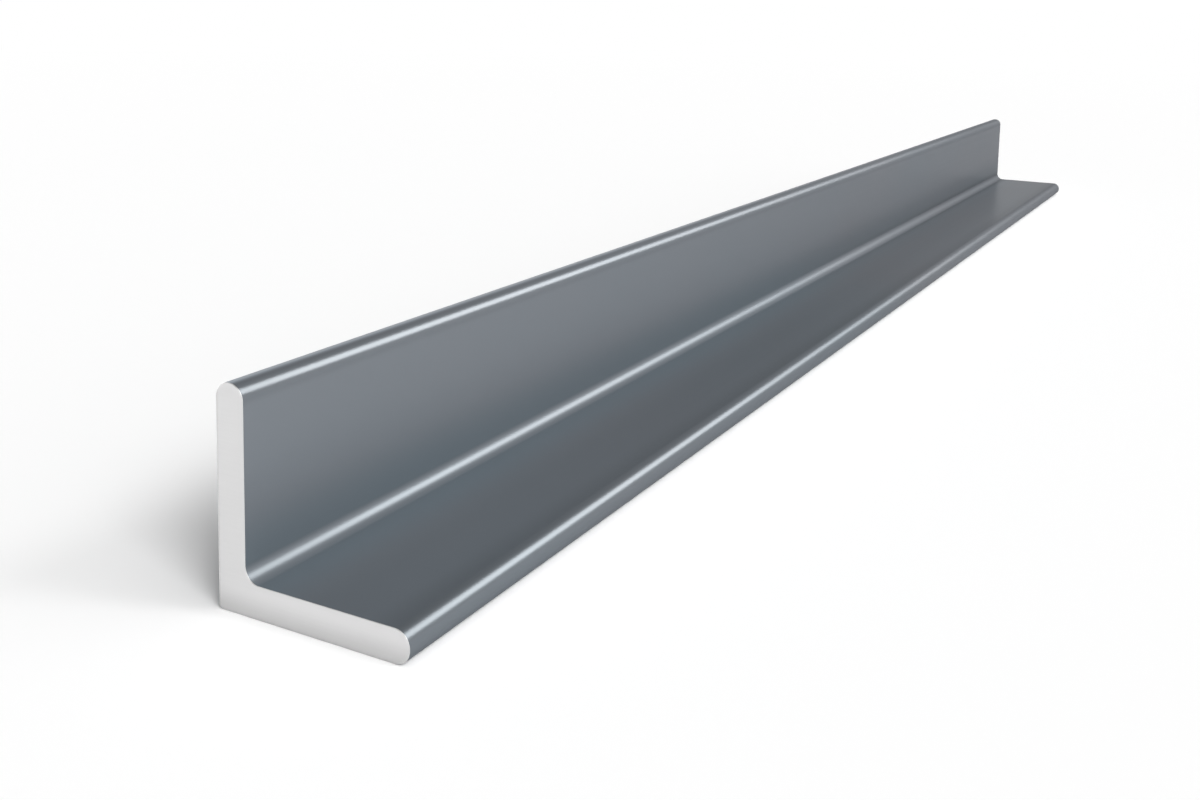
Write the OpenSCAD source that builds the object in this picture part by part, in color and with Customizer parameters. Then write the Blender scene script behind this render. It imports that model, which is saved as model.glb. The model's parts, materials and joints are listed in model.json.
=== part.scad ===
// Steel angle: one length of hot-rolled equal-leg angle, sawn square at both ends.
//
// The bar lies as it would on a level floor, with one leg flat and the other
// upright. +X runs across the flat leg from the heel to its toe, +Y runs along
// the bar and +Z is up. The origin is on the floor under the middle of the bar.
//
//        upright leg   _
//                     | |  <- toe, rounded on both edges
//                     | |
//                     | |
//                     | (_____   <- root, filleted
//                     |_______)  <- toe of the flat leg
//                  heel

/* [Legs] */
// Width of the flat leg, from the back of the heel to its toe
flat_leg = 40; // [20:1:120]
// Height of the upright leg, from the floor to its toe
upright_leg = 40; // [20:1:120]
// Thickness of both legs
thickness = 6; // [3:0.5:14]

/* [Edges] */
// Radius on the two long edges of each toe, up to half the thickness
toe_radius = 2.9; // [0.5:0.1:3]
// Radius of the fillet in the root, between the legs' inner faces
root_radius = 3; // [1:0.5:12]
// Radius on the heel's outer edge
heel_radius = 0.8; // [0.2:0.1:3]

/* [Length] */
// Length of the bar, between its sawn ends
bar_length = 600; // [50:10:6000]

/* [Hidden] */

steel_grey = [0.45, 0.48, 0.51];

// Sides that a full circle has, which the rounded edges and the fillet follow
circle_sides = 96;

// A rolled toe can't be rounder than a half circle across the leg.
toe_round = min(toe_radius, thickness / 2);

// The sliver between a sharp corner and the arc that rounds it off. The corner is
// at the origin and opens to the upper right, and each quarter turn then turns it
// counter-clockwise. It is cut away from an edge, and added in the root.
module corner_sliver(radius, quarter_turns) {
    rotate(90 * quarter_turns)
        difference() {
            square(radius);
            translate([radius, radius])
                circle(radius, $fn = circle_sides);
        }
}

// The two legs as plain flats that meet in the heel.
module sharp_legs() {
    square([flat_leg, thickness]);
    square([thickness, upright_leg]);
}

// What the rolls leave off the flat leg's toe, on its two edges.
module flat_toe_slivers() {
    translate([flat_leg, 0])
        corner_sliver(toe_round, 1);
    translate([flat_leg, thickness])
        corner_sliver(toe_round, 2);
}

// What the rolls leave off the upright leg's toe, on its two edges.
module upright_toe_slivers() {
    translate([thickness, upright_leg])
        corner_sliver(toe_round, 2);
    translate([0, upright_leg])
        corner_sliver(toe_round, 3);
}

// The rolled section, with the back of the heel at its origin.
module rolled_section() {
    difference() {
        union() {
            sharp_legs();
            translate([thickness, thickness])
                corner_sliver(root_radius, 0);
        }
        flat_toe_slivers();
        upright_toe_slivers();
        corner_sliver(heel_radius, 0);
    }
}

// The bar: the section drawn out along Y and centred on the floor.
module angle_bar() {
    color(steel_grey)
        translate([-flat_leg / 2, 0, 0])
            rotate([90, 0, 0])
                linear_extrude(height = bar_length, center = true)
                    rolled_section();
}

angle_bar();
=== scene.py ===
"""The looks of a steel angle: one length of rolled equal-leg bar, its finishes and its studio.

Everything is in metres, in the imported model's own frame. The bar lies along Y with one
leg flat on the floor (z = 0) and the other upright on its left, and Z is up.
"""

import json
import math

import bpy
from mathutils import Matrix, Vector


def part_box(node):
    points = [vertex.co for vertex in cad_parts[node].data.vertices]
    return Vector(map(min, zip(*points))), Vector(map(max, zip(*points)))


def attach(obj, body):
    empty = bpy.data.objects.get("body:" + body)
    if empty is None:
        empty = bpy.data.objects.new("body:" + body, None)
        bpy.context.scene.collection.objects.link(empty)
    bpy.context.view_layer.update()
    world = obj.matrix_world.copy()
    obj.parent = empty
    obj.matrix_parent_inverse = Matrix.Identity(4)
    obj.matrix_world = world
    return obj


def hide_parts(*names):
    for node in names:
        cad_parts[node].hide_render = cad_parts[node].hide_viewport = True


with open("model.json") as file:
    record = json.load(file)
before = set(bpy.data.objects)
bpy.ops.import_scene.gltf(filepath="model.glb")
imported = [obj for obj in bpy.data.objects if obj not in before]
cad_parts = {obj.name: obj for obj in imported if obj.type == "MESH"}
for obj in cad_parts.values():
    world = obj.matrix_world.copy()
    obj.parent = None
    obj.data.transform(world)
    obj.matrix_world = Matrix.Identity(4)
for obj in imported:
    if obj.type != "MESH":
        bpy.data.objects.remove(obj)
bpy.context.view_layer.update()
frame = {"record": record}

bl_info = {
    "name": "Steel Angle",
    "version": (1, 0, 0),
    "blender": (4, 5, 0),
    "location": "3D View > Sidebar > Steel Angle",
    "description": "Makes a sawn length of rolled steel angle and lights it in a white studio",
    "category": "Add Mesh",
}

MM = 0.001
BAR_NODE = "angle_bar"
SKIN_FINISH = "Rolled steel skin"
SAWN_FINISH = "Sawn steel"
FLOOR_FINISH = "Studio floor"

# The largest values of the settings: the longest bar, and the size of the studio.
LONGEST_BAR = 6.0
STUDIO_SIZE = 9.0

# An edge is crisp where its faces turn by more than this angle, and a face belongs to the sawn end
# where its normal has more than this share along the bar.
CRISP_ANGLE = math.radians(30)
SAWN_FACING = 0.5

# How far the floor reaches each way and lies under the bar, how far the strip lamp is from the bar's
# line, and the nearest and furthest that the camera sees.
FLOOR_REACH = 60.0
FLOOR_GAP = 0.02 * MM
STRIP_DISTANCE = 1.2
CAMERA_CLIP = (0.01, 200.0)

# How far a way out into the room points to the right, where the part of the room behind the bar
# starts, and where that part is whole.
BEHIND_BAR = (0.5, -0.1)

bar_low, bar_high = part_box(BAR_NODE)
mounts = {m["name"]: Vector(m["pos_m"]) for m in frame["record"]["mounts"]}

# How the skin changes over the bar: where each change starts, and where it is whole.
# Out from the corner where the planes of the two inner faces meet:
COOL_BESIDE_ROOT = (14 * MM, 4 * MM)
DULL_ROOT = (7 * MM, 3.5 * MM)
# Where shade is painted in the root fillet at the far end:
SHADED_ROOT = (5 * MM, 2.5 * MM)
FILLET = (3.2 * MM, 2.2 * MM)
# In from the outside of a toe:
TOE_ROUNDING = (4 * MM, 2 * MM)
# Where shade is painted on the flat leg's top towards its toe:
SHADED_FLAT_TOE = (9 * MM, 2 * MM)
# Where a highlight is painted on the upright leg's crest:
CREST_HIGHLIGHT_TOP = (3.5 * MM, 1.5 * MM)
# In from the bar's back, and up from its underside:
# Where a highlight is painted on the upright leg's crest:
CREST_HIGHLIGHT_SIDE = (4.2 * MM, 2.8 * MM)
# Where shade is painted on the flat leg's top near the near end:
FLAT_TOP_START = (10 * MM, 24 * MM)
FLAT_TOP_SKIN = (4.5 * MM, 5.9 * MM)
# How much further a place on the upright leg is over the flat leg than out from its own face, where shade is
# painted at its foot:
SHADED_FOOT_TOP = (15 * MM, 4 * MM)
SHADED_FOOT_BOTTOM = (1 * MM, 3 * MM)
# Along from the near end:
# Where the painted shade on the flat leg's top fades out:
FLAT_TOP_END = (400 * MM, 160 * MM)
# Where the painted crest highlight fades:
CREST_HIGHLIGHT_LOST = (100 * MM, 350 * MM)
COOL_LOST = (100 * MM, 500 * MM)
# Where shade is painted in the root and on the toes at the far end:
FAR_ROOT_SHADE = (200 * MM, 550 * MM)
FAR_TOE_SHADE = (300 * MM, 550 * MM)
ROOT_OXIDE = (40 * MM, 440 * MM)
TOE_OXIDE = (240 * MM, 550 * MM)

# On the sawn ends, where shade is painted up from the underside, and in a line in from the nearest outer
# side:
FLOOR_SHADE_RISE = (5 * MM, 0.0)
EDGE_SHADE_WIDTH = (0.7 * MM, 0.1 * MM)

# The skin's hue: two tints, how cool it is away from the root, and how far the fillet, the far end
# and slow drifts turn it.
COOL_TINT = (0.92, 1.0, 1.03, 1)
WARM_TINT = (1.06, 1.0, 0.985, 1)
PLAIN_COOLNESS = 0.5
FILLET_WARMTH = 0.8
COOL_LOST_SHARE = 0.55
DRIFT_SHARE = 0.75

# The patterns: cells to the metre, how far each axis is squeezed, which draws the pattern out along
# it, and the noise's own detail and roughness.
HUE_DRIFT = {"cells": 14.0, "squeeze": (1.0, 0.5, 1.0)}
SKIN_CLOUDS = {"cells": 55.0, "squeeze": (1.0, 0.35, 1.0), "detail": 4.0, "roughness": 0.55}
SKIN_LINES = {"cells": 900.0, "squeeze": (1.0, 0.012, 1.0), "detail": 3.0, "roughness": 0.6}
SKIN_GRAIN = {"cells": 2600.0, "roughness": 0.6}
SAWN_CLOUDS = {"cells": 90.0, "detail": 3.0}
SAWN_MARKS = {"cells": 2400.0, "squeeze": (0.03, 1.0, 1.0), "detail": 3.0, "roughness": 0.6}

# What the patterns do. In the skin's tone, the lines' share beside the clouds, and the contrast:
LINES_IN_TONE = 0.5
TONE_CONTRAST = 4
# In the skin's roughness and relief:
CLOUDS_IN_ROUGHNESS = 0.06
LINES_IN_ROUGHNESS = 0.05
GRAIN_IN_RELIEF = 0.3
# In the sawn ends: the darkest and palest tone, the marks' and the clouds' share, and the roughness.
SAWN_TONES = (0.96, 1.03)
MARKS_IN_SAWN_TONE = 0.7
CLOUDS_IN_SAWN_TONE = 0.3
CLOUDS_IN_SAWN_ROUGHNESS = 0.1


# ---------------------------------------------------------------- node trees


class Wire:
    """One output of a node. Arithmetic between wires and numbers adds the Math nodes for it."""

    def __init__(self, tree, socket):
        self.tree = tree
        self.socket = socket

    def maths(self, operation, *values):
        return self.tree.node("ShaderNodeMath", {"operation": operation}, dict(enumerate(values)))

    def __add__(self, other):
        return self.maths("ADD", self, other)

    def __radd__(self, other):
        return self.maths("ADD", other, self)

    def __sub__(self, other):
        return self.maths("SUBTRACT", self, other)

    def __rsub__(self, other):
        return self.maths("SUBTRACT", other, self)

    def __mul__(self, other):
        return self.maths("MULTIPLY", self, other)

    def __rmul__(self, other):
        return self.maths("MULTIPLY", other, self)

    def __truediv__(self, other):
        return self.maths("DIVIDE", self, other)

    def __rtruediv__(self, other):
        return self.maths("DIVIDE", other, self)

    def __neg__(self):
        return self.maths("MULTIPLY", self, -1)

    def __abs__(self):
        return self.maths("ABSOLUTE", self)

    def __gt__(self, other):
        return self.maths("GREATER_THAN", self, other)

    def at_most(self, other):
        return self.maths("MINIMUM", self, other)

    def at_least(self, other):
        return self.maths("MAXIMUM", self, other)

    def clamped(self):
        return self.at_least(0).at_most(1)


class Tree:
    """A node tree of a material, a world or a Geometry Nodes group, built node by node."""

    def __init__(self, node_tree):
        node_tree.nodes.clear()
        self.node_tree = node_tree

    def node(self, kind, settings=None, inputs=None, output=0):
        """Adds a node and gives back the wire from one of its outputs.

        settings are the node's own properties, set first; "items" is how many choices a
        switch has, or which attributes a capture takes. inputs gives values or wires to
        sockets by their identifier, name or number.
        """
        made = self.node_tree.nodes.new(kind)
        for name, value in (settings or {}).items():
            if name == "items":
                set_items(made, value)
            else:
                setattr(made, name, value)
        for name, value in (inputs or {}).items():
            self.feed(find_socket(made.inputs, name), value)
        return Wire(self, find_socket(made.outputs, output)) if made.outputs else None

    def feed(self, socket, value):
        """Links a wire to a socket, or sets the socket to a plain value."""
        if isinstance(value, Wire):
            self.node_tree.links.new(value.socket, socket)
        elif isinstance(value, (list, tuple)) and any(isinstance(v, Wire) for v in value):
            self.feed(socket, self.vector(*value))
        else:
            socket.default_value = value

    def vector(self, x, y, z):
        return self.node("ShaderNodeCombineXYZ", inputs={0: x, 1: y, 2: z})

    def split(self, vector):
        """The x, y and z of a vector, as three wires."""
        first = self.node("ShaderNodeSeparateXYZ", inputs={0: vector})
        return [Wire(self, socket) for socket in first.socket.node.outputs]

    def vector_maths(self, operation, *vectors, output="Vector"):
        return self.node("ShaderNodeVectorMath", {"operation": operation}, dict(enumerate(vectors)), output)

    def mix(self, factor, first, second, blend_type="MIX"):
        """A colour between two colours."""
        return self.node(
            "ShaderNodeMix",
            {"data_type": "RGBA", "blend_type": blend_type},
            {"Factor_Float": factor, "A_Color": first, "B_Color": second},
            "Result_Color",
        )

    def multiply(self, first, second):
        """One colour times another."""
        return self.mix(1.0, first, second, "MULTIPLY")

    def shade(self, colour, shades):
        """A colour that is darker or paler, by each shade's level, where the shade's mask is 1."""
        for mask, level in shades:
            grey = self.mix(mask, (1, 1, 1, 1), (level, level, level, 1))
            colour = self.multiply(colour, grey)
        return colour


def find_socket(sockets, key):
    """The socket with that number, or with that identifier or name."""
    if isinstance(key, int):
        return sockets[key]
    for socket in sockets:
        if socket.identifier == key:
            return socket
    return sockets[key]


def set_items(made, items):
    """Gives a switch as many choices, or a capture the named vector attributes."""
    if isinstance(items, int):
        while len(made.index_switch_items) < items:
            made.index_switch_items.new()
    else:
        for name in items:
            made.capture_items.new("VECTOR", name)


# ---------------------------------------------------------------- settings


def length_setting(name, description, default, largest=1.0):
    return bpy.props.FloatProperty(
        name=name,
        description=description,
        default=default,
        min=0.0,
        max=largest,
        precision=5,
        unit="LENGTH",
    )


def share_setting(name, description, default):
    return bpy.props.FloatProperty(
        name=name, description=description, default=default, min=0.0, max=1.0, subtype="FACTOR"
    )


def colour_setting(name, description, default):
    return bpy.props.FloatVectorProperty(
        name=name, description=description, default=default, min=0.0, max=1.0, size=3, subtype="COLOR"
    )


def angle_setting(name, description, degrees):
    return bpy.props.FloatProperty(
        name=name, description=description, default=math.radians(degrees), unit="ROTATION"
    )


def strength_setting(name, description, default):
    return bpy.props.FloatProperty(name=name, description=description, default=default, min=0.0)


class BarSizes(bpy.types.PropertyGroup):
    """The bar's section and length."""

    flat_leg: length_setting("Flat leg", "From the back of the heel to its toe", bar_high.x - bar_low.x)
    upright_leg: length_setting("Upright leg", "From the floor to its toe", bar_high.z - bar_low.z)
    thickness: length_setting("Thickness", "Of both legs", mounts["flat_leg_top"].z - bar_low.z)
    length: length_setting("Length", "Between the sawn ends", bar_high.y - bar_low.y, LONGEST_BAR)
    toe_radius: length_setting("Toe radius", "On the long edges of each toe", 2.9 * MM)
    root_radius: length_setting("Root radius", "Of the fillet between the legs", 3.0 * MM)
    heel_radius: length_setting("Heel radius", "On the outer corner", 0.8 * MM)
    saw_chamfer: length_setting("Saw chamfer", "Filed off the edges of the sawn ends", 0.09 * MM)
    arc_steps: bpy.props.IntProperty(
        name="Arc steps", description="Faces round each rounded edge", default=20, min=2, max=64
    )


class BarFinish(bpy.types.PropertyGroup):
    """The rolled skin and the sawn ends."""

    skin_colour: colour_setting("Skin colour", "Blue-grey of the rolled skin", (0.175, 0.1910, 0.2090))
    skin_edge_tint: colour_setting("Skin edge tint", "What the skin reflects at a glance", (0.43, 0.43, 0.43))
    skin_metal: share_setting("Skin metal", "How far the skin's oxide is like bare metal", 0.45)
    skin_roughness: share_setting("Skin roughness", "Of the rolled skin", 0.31)
    skin_mottle: share_setting("Skin mottle", "How much the skin's tone varies", 0.04)
    # Painted shade on the toes, the flat leg's top towards its toe, and the upright leg's foot.
    dull_shade: share_setting("Dull shade", "How much darker the toes and the upright leg's foot are", 0.15)
    # Painted shade on the flat leg's top near the near end.
    flat_shade: share_setting("Flat shade", "How much darker the flat leg's top is near the near end", 0.15)
    root_dullness: share_setting("Root dullness", "How much rougher the root fillet is", 0.075)
    edge_oxide: share_setting("Edge oxide", "How much less metal-like the toes are at the far end", 0.65)
    root_oxide: share_setting("Root oxide", "How much less metal-like the root is at the far end", 0.75)
    # The next two are painted shade on the toes and in the root fillet at the far end.
    edge_shade: share_setting("Edge shade", "How much darker the toes are at the far end", 0.15)
    root_shade: share_setting("Root shade", "How much darker the root fillet is at the far end", 0.28)
    # The next two are a painted highlight on the upright leg's outer edge: how much of it is lost at the far
    # end, and how strong it is.
    rub_fade: share_setting("Rub fade", "How much of the rubbing is gone at the far end", 0.58)
    crest_rub: strength_setting("Crest rub", "How much paler the upright leg's outer edge is rubbed", 1.15)
    rolling_lines: length_setting("Rolling lines", "Depth of the lengthwise lines", 0.002 * MM)
    sawn_colour: colour_setting("Sawn colour", "Bare metal of the ends", (0.668, 0.666, 0.668))
    sawn_roughness: share_setting("Sawn roughness", "Of the ends", 0.5)
    # The next two are painted shade: darker towards the ends' underside, and a dark line along their bottom
    # and back edges.
    saw_drag: share_setting("Saw drag", "How much darker the ends are where the blade came out", 0.24)
    saw_rim: share_setting("Saw rim", "How much darker the burr along the outer sides is", 0.1)
    saw_marks: length_setting("Saw marks", "Depth of the blade's marks", 0.01 * MM)


class StudioSettings(bpy.types.PropertyGroup):
    """The camera, the lamps and the white room."""

    stand_right: length_setting("Stand right", "Camera's way right of the near heel", 155.5 * MM, STUDIO_SIZE)
    stand_back: length_setting("Stand back", "Camera's way in front of the near end", 154.5 * MM, STUDIO_SIZE)
    stand_up: length_setting("Stand up", "Camera's height", 104.5 * MM, STUDIO_SIZE)
    turn: angle_setting("Turn", "Camera's turn to the left of the bar's line", 28.03)
    tilt: angle_setting("Tilt", "Camera's tilt downwards", 7.15)
    roll: angle_setting("Roll", "Camera's roll", 1.19)
    lens: bpy.props.FloatProperty(
        name="Lens", description="Focal length in millimetres", default=38.93, min=1.0, unit="CAMERA"
    )
    shift_right: bpy.props.FloatProperty(
        name="Shift right", description="Lens shift, in picture widths", default=-0.0072
    )
    shift_up: bpy.props.FloatProperty(
        name="Shift up", description="Lens shift, in picture widths", default=-0.2
    )
    horizon_top: angle_setting("Horizon top", "How high the room is white all round", 5.0)
    horizon_end: angle_setting("Horizon end", "How high that white has faded", 14.0)
    horizon_behind: angle_setting("Horizon behind", "How much higher it is behind the bar and left", 20.0)
    behind_level: strength_setting("Behind level", "How much brighter the white is behind the bar", 0.35)
    wall_level: strength_setting("Wall level", "Brightness of the left wall in the bar's gloss", 2.4)
    wall_top: angle_setting("Wall top", "How high the left wall is white", 5.0)
    wall_end: angle_setting("Wall end", "How high the left wall has faded", 65.0)
    room_level: strength_setting("Room level", "Brightness of the room overhead", 0.05)
    soft_level: strength_setting("Soft level", "Brightest part of the room's soft light", 1.3)
    soft_turn: angle_setting("Soft turn", "Soft light's way round, clockwise from the bar's line", 104.0)
    soft_up: angle_setting("Soft up", "Height of the soft light above the horizon", 30.0)
    key_level: strength_setting("Key level", "Light of the key lamp", 2.05)
    key_turn: angle_setting("Key turn", "Key lamp's way round, clockwise from the bar's line", 123.5)
    key_up: angle_setting("Key up", "Height of the key lamp above the horizon", 37.0)
    key_spread: angle_setting("Key spread", "How wide the key lamp looks", 30.0)
    side_level: strength_setting("Side level", "Light of the side lamp", 0.503)
    side_turn: angle_setting("Side turn", "Side lamp's way round, clockwise from the bar's line", 72.5)
    side_up: angle_setting("Side up", "Height of the side lamp above the horizon", 38.5)
    side_spread: angle_setting("Side spread", "How wide the side lamp looks", 15.0)
    strip_colour: colour_setting("Strip colour", "Of the strip lamp's light", (1.0, 0.975, 0.935))
    strip_level: strength_setting("Strip level", "Brightness of the strip lamp's face", 11.6)
    strip_width: length_setting("Strip width", "Width of the strip lamp", 0.76)
    strip_up: angle_setting("Strip up", "Height of the strip lamp over the bar's side", 49.0)
    strip_near: length_setting("Strip near", "Its near end, past the bar's middle", 0.62, STUDIO_SIZE)
    strip_far: length_setting("Strip far", "Its far end, past the bar's middle", 3.1, STUDIO_SIZE)
    floor_white: share_setting("Floor white", "How white the floor is", 0.97)
    floor_near: length_setting("Floor near", "How far out the floor shows only its light", 0.5, STUDIO_SIZE)
    floor_far: length_setting("Floor far", "How far out the floor is plain white", 2.0, STUDIO_SIZE)


# ---------------------------------------------------------------- bar


def make_section_tree():
    """The Geometry Nodes group that rolls the section and draws it out along Y."""
    group = bpy.data.node_groups.new("Rolled angle", "GeometryNodeTree")
    tree = Tree(group)
    for names, kind in (
        (("Flat leg", "Upright leg", "Thickness", "Length"), "Float"),
        (("Toe radius", "Root radius", "Heel radius", "Saw chamfer"), "Float"),
        (("Arc steps",), "Int"),
        (("Skin", "Sawn"), "Material"),
    ):
        for name in names:
            group.interface.new_socket(name, in_out="INPUT", socket_type="NodeSocket" + kind)
    group.interface.new_socket("Bar", in_out="OUTPUT", socket_type="NodeSocketGeometry")
    entry = tree.node("NodeGroupInput").socket.node
    asked = {socket.name: Wire(tree, socket) for socket in entry.outputs if socket.name}

    flat, upright = asked["Flat leg"], asked["Upright leg"]
    thick, chamfer = asked["Thickness"], asked["Saw chamfer"]
    toe, root, heel = asked["Toe radius"], asked["Root radius"], asked["Heel radius"]

    # The section's six sharp corners, round from the heel by way of the flat leg's toe. The
    # sweep turns the section's second axis downwards, so heights go in as negative numbers.
    left, right = flat * -0.5, flat * 0.5
    corners = [
        (left, 0, 0), (right, 0, 0), (right, -thick, 0),
        (left + thick, -thick, 0), (left + thick, -upright, 0), (left, -upright, 0),
    ]
    section = polyline(tree, corners)
    section = tree.node("GeometryNodeSetSplineCyclic", inputs={"Geometry": section, "Cyclic": True})
    section = tree.node(
        "GeometryNodeFilletCurve",
        {"mode": "POLY"},
        {
            "Curve": section,
            "Count": asked["Arc steps"],
            "Radius": by_index(tree, "FLOAT", [heel, toe, toe, root, toe, toe]),
            "Limit Radius": True,
        },
    )
    outward = tree.vector_maths("CROSS_PRODUCT", (0, 0, 1), tree.node("GeometryNodeInputTangent"))
    section = tree.node(
        "GeometryNodeCaptureAttribute", {"items": ["Outward"]}, {"Geometry": section, "Outward": outward}
    )
    out_right, out_down, _ = tree.split(Wire(tree, section.socket.node.outputs["Outward"]))

    # The way along the bar, with a short step at each end for the chamfer.
    half = asked["Length"] * 0.5
    stations = [-half, chamfer - half, half - chamfer, half]
    way = polyline(tree, [(0, station, 0) for station in stations])
    bar = tree.node(
        "GeometryNodeCurveToMesh", inputs={"Curve": way, "Profile Curve": section, "Fill Caps": True}
    )
    _, along, _ = tree.split(tree.node("GeometryNodeInputPosition"))
    at_ends = abs(along) > half - chamfer * 0.5
    inward = (out_right * -chamfer, 0, out_down * chamfer)
    bar = tree.node(
        "GeometryNodeSetPosition", inputs={"Geometry": bar, "Selection": at_ends, "Offset": inward}
    )

    # Smooth round the rolled edges and crisp at the chamfers.
    bar = tree.node("GeometryNodeSetShadeSmooth", {"domain": "FACE"}, {"Geometry": bar, "Shade Smooth": True})
    crisp = tree.node("GeometryNodeInputMeshEdgeAngle") > CRISP_ANGLE
    bar = tree.node(
        "GeometryNodeSetShadeSmooth",
        {"domain": "EDGE"},
        {"Geometry": bar, "Selection": crisp, "Shade Smooth": False},
    )
    bar = tree.node("GeometryNodeRealizeInstances", inputs={"Geometry": bar})
    bar = tree.node("GeometryNodeSetMaterial", inputs={"Geometry": bar, "Material": asked["Skin"]})
    _, facing_end, _ = tree.split(tree.node("GeometryNodeInputNormal"))
    sawn = abs(facing_end) > SAWN_FACING
    bar = tree.node(
        "GeometryNodeSetMaterial", inputs={"Geometry": bar, "Selection": sawn, "Material": asked["Sawn"]}
    )
    tree.node("NodeGroupOutput", inputs={"Bar": bar})
    return group


def by_index(tree, data_type, choices):
    """A field that takes the first choice at point 0, the second at point 1, and so on."""
    inputs = {str(number): choice for number, choice in enumerate(choices)}
    inputs["Index"] = tree.node("GeometryNodeInputIndex")
    return tree.node("GeometryNodeIndexSwitch", {"data_type": data_type, "items": len(choices)}, inputs)


def polyline(tree, points):
    """A curve of straight stretches through some points."""
    line = tree.node("GeometryNodeMeshLine", inputs={"Count": len(points)})
    line = tree.node(
        "GeometryNodeSetPosition", inputs={"Geometry": line, "Position": by_index(tree, "VECTOR", points)}
    )
    return tree.node("GeometryNodeMeshToCurve", inputs={"Mesh": line})


def baked_piece(name, group, values):
    """A plain mesh piece from a Geometry Nodes group, whose named inputs take the values."""
    maker = bpy.data.objects.new(name + "_maker", bpy.data.meshes.new(name + "_maker"))
    bpy.context.scene.collection.objects.link(maker)
    modifier = maker.modifiers.new("Maker", "NODES")
    modifier.node_group = group
    for item in group.interface.items_tree:
        if item.in_out == "INPUT":
            modifier[item.identifier] = values[item.name]
    evaluated = maker.evaluated_get(bpy.context.evaluated_depsgraph_get())
    mesh = bpy.data.meshes.new_from_object(evaluated)
    mesh.name = name
    bpy.data.objects.remove(maker)
    piece = bpy.data.objects.new(name, mesh)
    bpy.context.scene.collection.objects.link(piece)
    return piece


class STEELANGLE_OT_bar(bpy.types.Operator):
    """Rolls the bar, saws it to length and gives it its two finishes"""

    bl_idname = "steel_angle.bar"
    bl_label = "Bar"

    def execute(self, context):
        sizes = context.scene.bar_sizes
        finish = context.scene.bar_finish
        values = {
            "Flat leg": sizes.flat_leg,
            "Upright leg": sizes.upright_leg,
            "Thickness": sizes.thickness,
            "Length": sizes.length,
            "Toe radius": min(sizes.toe_radius, sizes.thickness / 2),
            "Root radius": sizes.root_radius,
            "Heel radius": sizes.heel_radius,
            "Saw chamfer": sizes.saw_chamfer,
            "Arc steps": sizes.arc_steps,
            "Skin": skin_finish(finish),
            "Sawn": sawn_finish(finish),
        }
        piece = baked_piece("angle_bar_dressed", make_section_tree(), values)
        weighted = piece.modifiers.new("Flat faces stay flat", "WEIGHTED_NORMAL")
        weighted.keep_sharp = True
        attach(piece, "root")
        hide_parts(BAR_NODE)
        return {"FINISHED"}


# ---------------------------------------------------------------- finishes


def new_finish(name):
    """A material with an empty node tree, and its tree."""
    finish = bpy.data.materials.new(name)
    finish.use_nodes = True
    return finish, Tree(finish.node_tree)


def pattern(tree, place, cells, squeeze=None, detail=2.0, roughness=0.5):
    """Noise from 0 to 1 over a place, with that many cells to the metre."""
    if squeeze:
        place = tree.vector_maths("MULTIPLY", place, squeeze)
    return tree.node(
        "ShaderNodeTexNoise",
        inputs={"Vector": place, "Scale": cells, "Detail": detail, "Roughness": roughness},
    )


def smooth_step(tree, value, start, end):
    """0 at the start and before it, 1 at the end and past it, and smooth between them."""
    return tree.node(
        "ShaderNodeMapRange",
        {"interpolation_type": "SMOOTHSTEP"},
        {"Value": value, "From Min": start, "From Max": end},
    )


def bump(tree, height):
    """A normal from a height in metres."""
    return tree.node("ShaderNodeBump", inputs={"Strength": 1.0, "Distance": 1.0, "Height": height})


def toned(colour, level):
    """A setting's colour made darker or paler, as a colour socket takes it."""
    return (*(part * level for part in colour), 1)


class SkinPlaces:
    """Where on the bar a point of the skin is. Each place is 1 there and fades to 0 beside it."""

    def __init__(self, tree, place):
        self.tree = tree
        across, along, height = tree.split(place)
        self.from_near_end = along - bar_low.y
        self.from_back = across - bar_low.x
        self.from_floor = height - bar_low.z
        self.from_flat_toe = bar_high.x - across
        self.from_upright_toe = bar_high.z - height
        self.over_flat_leg = height - mounts["flat_leg_top"].z
        self.past_upright_leg = across - mounts["upright_leg_front"].x
        self.from_root = self.over_flat_leg + self.past_upright_leg

    def fade(self, distance, span):
        """0 up to a span's first distance and 1 from its second on."""
        return smooth_step(self.tree, distance, *span)

    def along(self, span):
        return self.fade(self.from_near_end, span)

    def by_root(self, span):
        return self.fade(self.from_root, span)

    def toes(self):
        return self.fade(self.from_flat_toe, TOE_ROUNDING).at_least(
            self.fade(self.from_upright_toe, TOE_ROUNDING)
        )

    def dull(self):
        """Both toes, the flat leg's top towards its toe, and the foot of the upright leg's inner face: where
        shade is painted.
        """
        rise = self.over_flat_leg - self.past_upright_leg
        foot = self.fade(rise, SHADED_FOOT_TOP) * self.fade(rise, SHADED_FOOT_BOTTOM)
        return self.toes().at_least(self.fade(self.from_flat_toe, SHADED_FLAT_TOE)).at_least(foot)

    def near_flat_top(self):
        """The flat leg's top away from the root, at the near end, where shade is painted."""
        on_top = self.fade(self.from_floor, FLAT_TOP_SKIN)
        return self.fade(self.from_back, FLAT_TOP_START) * on_top * self.along(FLAT_TOP_END)

    def rubbed_crest(self, lost):
        """A highlight painted on the outer half of the upright leg's crest, of which a share is lost at the
        far end.
        """
        crest = self.fade(self.from_back, CREST_HIGHLIGHT_SIDE) * self.fade(self.from_upright_toe, CREST_HIGHLIGHT_TOP)
        return crest * (1 - self.along(CREST_HIGHLIGHT_LOST) * lost)


def skin_hue(tree, place, places):
    """Cool beside the root and at the near end, warm at the far end, and drifting a little."""
    beside_root = places.by_root(COOL_BESIDE_ROOT) - places.by_root(FILLET) * FILLET_WARMTH
    cool = beside_root * (1 - PLAIN_COOLNESS) + PLAIN_COOLNESS
    cool = cool * (1 - places.along(COOL_LOST) * COOL_LOST_SHARE)
    drift = pattern(tree, place, **HUE_DRIFT) - 0.5
    return tree.mix((drift * DRIFT_SHARE + cool).clamped(), WARM_TINT, COOL_TINT)


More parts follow.
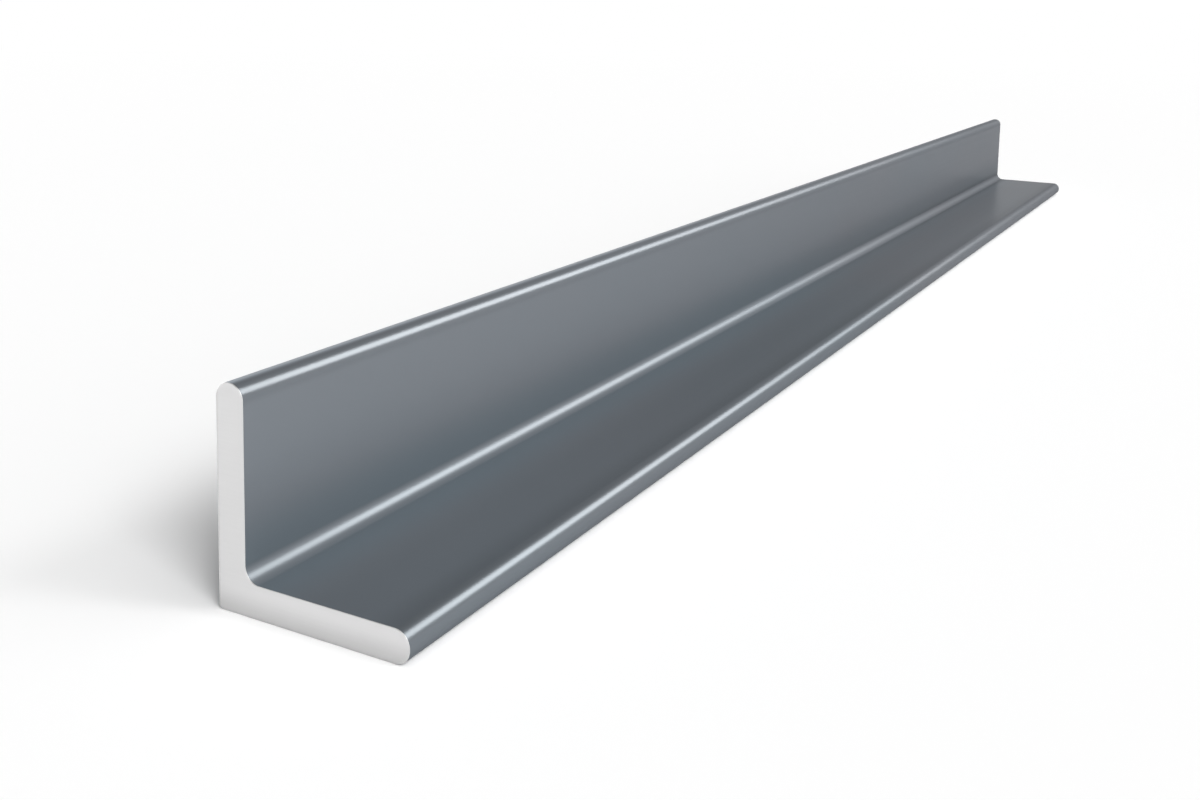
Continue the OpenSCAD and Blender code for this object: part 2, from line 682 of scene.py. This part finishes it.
def skin_finish(finish):
    """The rolled skin: blue-grey satin with faint mottling and lengthwise rolling lines, with shade and a
    crest highlight painted into its colour.
    """
    material, tree = new_finish(SKIN_FINISH)
    place = tree.node("ShaderNodeTexCoord", output="Object")
    places = SkinPlaces(tree, place)

    clouds = pattern(tree, place, **SKIN_CLOUDS) - 0.5
    lines = pattern(tree, place, **SKIN_LINES) - 0.5
    grain = pattern(tree, place, **SKIN_GRAIN) - 0.5

    tone = clouds * finish.skin_mottle + lines * (LINES_IN_TONE * finish.skin_mottle)
    darkest = toned(finish.skin_colour, 1 - finish.skin_mottle)
    palest = toned(finish.skin_colour, 1 + finish.skin_mottle)
    colour = tree.mix((tone * TONE_CONTRAST + 0.5).clamped(), darkest, palest)
    colour = tree.multiply(colour, skin_hue(tree, place, places))
    # Painted shade on the toes, the upright leg's foot, the near flat top and the far end's root and toes,
    # and a painted highlight on the crest.
    shades = (
        (places.dull(), 1 - finish.dull_shade),
        (places.near_flat_top(), 1 - finish.flat_shade),
        (places.rubbed_crest(finish.rub_fade), 1 + finish.crest_rub),
        (places.by_root(SHADED_ROOT) * places.along(FAR_ROOT_SHADE), 1 - finish.root_shade),
        (places.toes() * places.along(FAR_TOE_SHADE), 1 - finish.edge_shade),
    )
    colour = tree.shade(colour, shades)

    root_oxide = places.by_root(FILLET) * places.along(ROOT_OXIDE) * finish.root_oxide
    toe_oxide = places.toes() * places.along(TOE_OXIDE) * finish.edge_oxide
    roughness = clouds * CLOUDS_IN_ROUGHNESS + lines * LINES_IN_ROUGHNESS + finish.skin_roughness
    relief = lines * finish.rolling_lines + grain * (GRAIN_IN_RELIEF * finish.rolling_lines)
    steel = tree.node(
        "ShaderNodeBsdfPrincipled",
        inputs={
            "Base Color": colour,
            "Metallic": (1 - root_oxide - toe_oxide) * finish.skin_metal,
            "Specular IOR Level": 0.0,
            "Roughness": roughness + places.by_root(DULL_ROOT) * finish.root_dullness,
            "Specular Tint": (*finish.skin_edge_tint, 1),
            "Normal": bump(tree, relief),
        },
    )
    tree.node("ShaderNodeOutputMaterial", inputs={"Surface": steel})
    return material


def sawn_finish(finish):
    """The sawn ends: pale bare metal with the blade's fine marks across them, and shade painted towards the
    underside and along the bottom and back edges.
    """
    material, tree = new_finish(SAWN_FINISH)
    place = tree.node("ShaderNodeTexCoord", output="Object")

    marks = pattern(tree, place, **SAWN_MARKS)
    clouds = pattern(tree, place, **SAWN_CLOUDS)

    tone = marks * MARKS_IN_SAWN_TONE + clouds * CLOUDS_IN_SAWN_TONE
    darkest, palest = (toned(finish.sawn_colour, level) for level in SAWN_TONES)
    colour = tree.mix(tone.clamped(), darkest, palest)
    across, _, height = tree.split(place)
    from_floor = height - bar_low.z
    from_outside = from_floor.at_most(across - bar_low.x)
    # Painted shade: darker towards the underside, and a dark line along the bottom and back edges.
    shades = (
        (smooth_step(tree, from_floor, *FLOOR_SHADE_RISE), 1 - finish.saw_drag),
        (smooth_step(tree, from_outside, *EDGE_SHADE_WIDTH), 1 - finish.saw_rim),
    )
    colour = tree.shade(colour, shades)
    steel = tree.node(
        "ShaderNodeBsdfPrincipled",
        inputs={
            "Base Color": colour,
            "Metallic": 1.0,
            "Roughness": (clouds - 0.5) * CLOUDS_IN_SAWN_ROUGHNESS + finish.sawn_roughness,
            "Normal": bump(tree, (marks - 0.5) * finish.saw_marks),
        },
    )
    tree.node("ShaderNodeOutputMaterial", inputs={"Surface": steel})
    return material


def seen(tree):
    """1 for rays that show something, straight or in a reflection or through glass, and 0 for
    rays that only gather light."""
    path = tree.node("ShaderNodeLightPath").socket.node.outputs
    kinds = [Wire(tree, path[kind]) for kind in ("Is Camera Ray", "Is Glossy Ray", "Is Transmission Ray")]
    return (kinds[0] + kinds[1] + kinds[2]).at_most(1)


def floor_finish(studio):
    """A matt white floor that takes the bar's shadow, and plain white further out where it is seen,
    so that it meets the backdrop without a line."""
    material, tree = new_finish(FLOOR_FINISH)
    white = studio.floor_white
    matt = tree.node("ShaderNodeBsdfDiffuse", inputs={"Color": (white, white, white, 1)})
    plain = tree.node("ShaderNodeEmission", inputs={"Color": (1, 1, 1, 1), "Strength": 1.0})
    place = tree.node("ShaderNodeTexCoord", output="Object")
    away = tree.vector_maths("LENGTH", place, output="Value")
    far = ((away - studio.floor_near) / (studio.floor_far - studio.floor_near)).clamped()
    surface = tree.node("ShaderNodeMixShader", inputs={0: seen(tree) * far, 1: matt, 2: plain})
    tree.node("ShaderNodeOutputMaterial", inputs={"Surface": surface})
    return material


# ---------------------------------------------------------------- studio


def make_floor(studio):
    """A floor that runs out past every view, a hair under the bar."""
    reach, level = FLOOR_REACH, bar_low.z - FLOOR_GAP
    mesh = bpy.data.meshes.new("floor")
    corners = [(-reach, -reach, level), (reach, -reach, level), (reach, reach, level), (-reach, reach, level)]
    mesh.from_pydata(corners, [], [(0, 1, 2, 3)])
    mesh.materials.append(floor_finish(studio))
    floor = bpy.data.objects.new("floor", mesh)
    bpy.context.scene.collection.objects.link(floor)


def way_to(turn, rise):
    """The way to something that is turned clockwise from the bar's line, and raised."""
    level = math.cos(rise)
    return Vector((math.sin(turn) * level, math.cos(turn) * level, math.sin(rise)))


def make_room(studio):
    """The room. It shows as white round the horizon and up its left wall, and dark overhead. What it
    gives out is one broad soft light from the front and the right."""
    world = bpy.data.worlds.new("Studio")
    world.use_nodes = True
    bpy.context.scene.world = world
    tree = Tree(world.node_tree)
    way = tree.node("ShaderNodeTexCoord", output="Generated")
    right, _, height = tree.split(way)
    behind = smooth_step(tree, right, *BEHIND_BAR)
    rise = height - behind * math.sin(studio.horizon_behind)
    horizon = smooth_step(tree, rise, math.sin(studio.horizon_end), math.sin(studio.horizon_top))
    horizon = horizon * (1 + behind * studio.behind_level)
    left_rise = height.maths("ARCTAN2", height, -right)
    wall = smooth_step(tree, left_rise, studio.wall_end, studio.wall_top)
    shown = horizon.at_least(wall * studio.wall_level).at_least(studio.room_level)
    axis = tuple(way_to(studio.soft_turn, studio.soft_up))
    facing = tree.vector_maths("DOT_PRODUCT", way, axis, output="Value")
    given = facing.at_least(0) * studio.soft_level
    level = given + (shown - given) * seen(tree)
    sky = tree.node("ShaderNodeBackground", inputs={"Color": (1, 1, 1, 1), "Strength": level})
    tree.node("ShaderNodeOutputWorld", inputs={"Surface": sky})


def make_distant_lamp(name, level, turn, rise, spread):
    """A soft lamp so far away that its light comes evenly over the whole floor."""
    lamp = bpy.data.lights.new(name, "SUN")
    lamp.energy = level
    lamp.angle = spread
    holder = bpy.data.objects.new(name, lamp)
    holder.rotation_euler = way_to(turn, rise).to_track_quat("Z", "Y").to_euler()
    bpy.context.scene.collection.objects.link(holder)
    return holder


def make_distant_lamps(studio):
    """The key lamp, in front of the bar and to its right, and a weaker one off its right side, which
    adds no gloss."""
    make_distant_lamp("Key", studio.key_level, studio.key_turn, studio.key_up, studio.key_spread)
    side = make_distant_lamp("Side", studio.side_level, studio.side_turn, studio.side_up, studio.side_spread)
    side.visible_glossy = False


def make_strip_lamp(studio):
    """A long strip lamp, parallel to the bar, up to its right and past its far end. It only shows as
    gloss, and leaves the floor's shadow to the other lights."""
    rise, width = studio.strip_up, studio.strip_width
    near, far = studio.strip_near, studio.strip_far
    lamp = bpy.data.lights.new("Strip", "AREA")
    lamp.shape = "RECTANGLE"
    lamp.size = width
    lamp.size_y = far - near
    lamp.energy = math.pi * width * (far - near) * studio.strip_level
    lamp.color = studio.strip_colour
    holder = bpy.data.objects.new("Strip", lamp)
    holder.visible_diffuse = False
    across = Vector((math.sin(rise), 0.0, -math.cos(rise)))
    along = Vector((0.0, 1.0, 0.0))
    outward = Vector((math.cos(rise), 0.0, math.sin(rise)))
    turned = Matrix((across, along, outward)).transposed().to_4x4()
    holder.matrix_world = Matrix.Translation(outward * STRIP_DISTANCE + along * (near + far) / 2) @ turned
    bpy.context.scene.collection.objects.link(holder)


def make_camera(studio):
    """The camera, in front of the near end and to its right, looking back along the bar."""
    camera = bpy.data.cameras.new("Camera")
    camera.lens = studio.lens
    camera.shift_x = studio.shift_right
    camera.shift_y = studio.shift_up
    camera.clip_start, camera.clip_end = CAMERA_CLIP
    holder = bpy.data.objects.new("Camera", camera)
    stand = bar_low + Vector((studio.stand_right, -studio.stand_back, studio.stand_up))
    turn = Matrix.Rotation(studio.turn, 4, "Z")
    tilt = Matrix.Rotation(math.pi / 2 - studio.tilt, 4, "X")
    roll = Matrix.Rotation(studio.roll, 4, "Z")
    holder.matrix_world = Matrix.Translation(stand) @ turn @ tilt @ roll
    bpy.context.scene.collection.objects.link(holder)
    bpy.context.scene.camera = holder


class STEELANGLE_OT_studio(bpy.types.Operator):
    """Lays the white floor, lights the room and sets up the camera"""

    bl_idname = "steel_angle.studio"
    bl_label = "Studio"

    def execute(self, context):
        studio = context.scene.bar_studio
        context.scene.view_settings.view_transform = "Standard"
        make_camera(studio)
        make_floor(studio)
        make_room(studio)
        make_distant_lamps(studio)
        make_strip_lamp(studio)
        return {"FINISHED"}


# ---------------------------------------------------------------- add-on


class STEELANGLE_PT_panel(bpy.types.Panel):
    """The settings and the steps that make the bar and its studio"""

    bl_idname = "STEELANGLE_PT_panel"
    bl_label = "Steel Angle"
    bl_space_type = "VIEW_3D"
    bl_region_type = "UI"
    bl_category = "Steel Angle"

    def draw(self, context):
        steps = (
            ("bar_sizes", None),
            ("bar_finish", STEELANGLE_OT_bar),
            ("bar_studio", STEELANGLE_OT_studio),
        )
        for settings_name, step in steps:
            settings = getattr(context.scene, settings_name)
            column = self.layout.column(align=True)
            for name in settings.__annotations__:
                column.prop(settings, name)
            if step:
                self.layout.operator(step.bl_idname)


CLASSES = (
    BarSizes,
    BarFinish,
    StudioSettings,
    STEELANGLE_OT_bar,
    STEELANGLE_OT_studio,
    STEELANGLE_PT_panel,
)


def register():
    for cls in CLASSES:
        bpy.utils.register_class(cls)
    bpy.types.Scene.bar_sizes = bpy.props.PointerProperty(type=BarSizes)
    bpy.types.Scene.bar_finish = bpy.props.PointerProperty(type=BarFinish)
    bpy.types.Scene.bar_studio = bpy.props.PointerProperty(type=StudioSettings)


def unregister():
    del bpy.types.Scene.bar_sizes
    del bpy.types.Scene.bar_finish
    del bpy.types.Scene.bar_studio
    for cls in reversed(CLASSES):
        bpy.utils.unregister_class(cls)


def main():
    register()
    bpy.ops.steel_angle.studio()
    bpy.ops.steel_angle.bar()


if __name__ == "__main__":
    main()
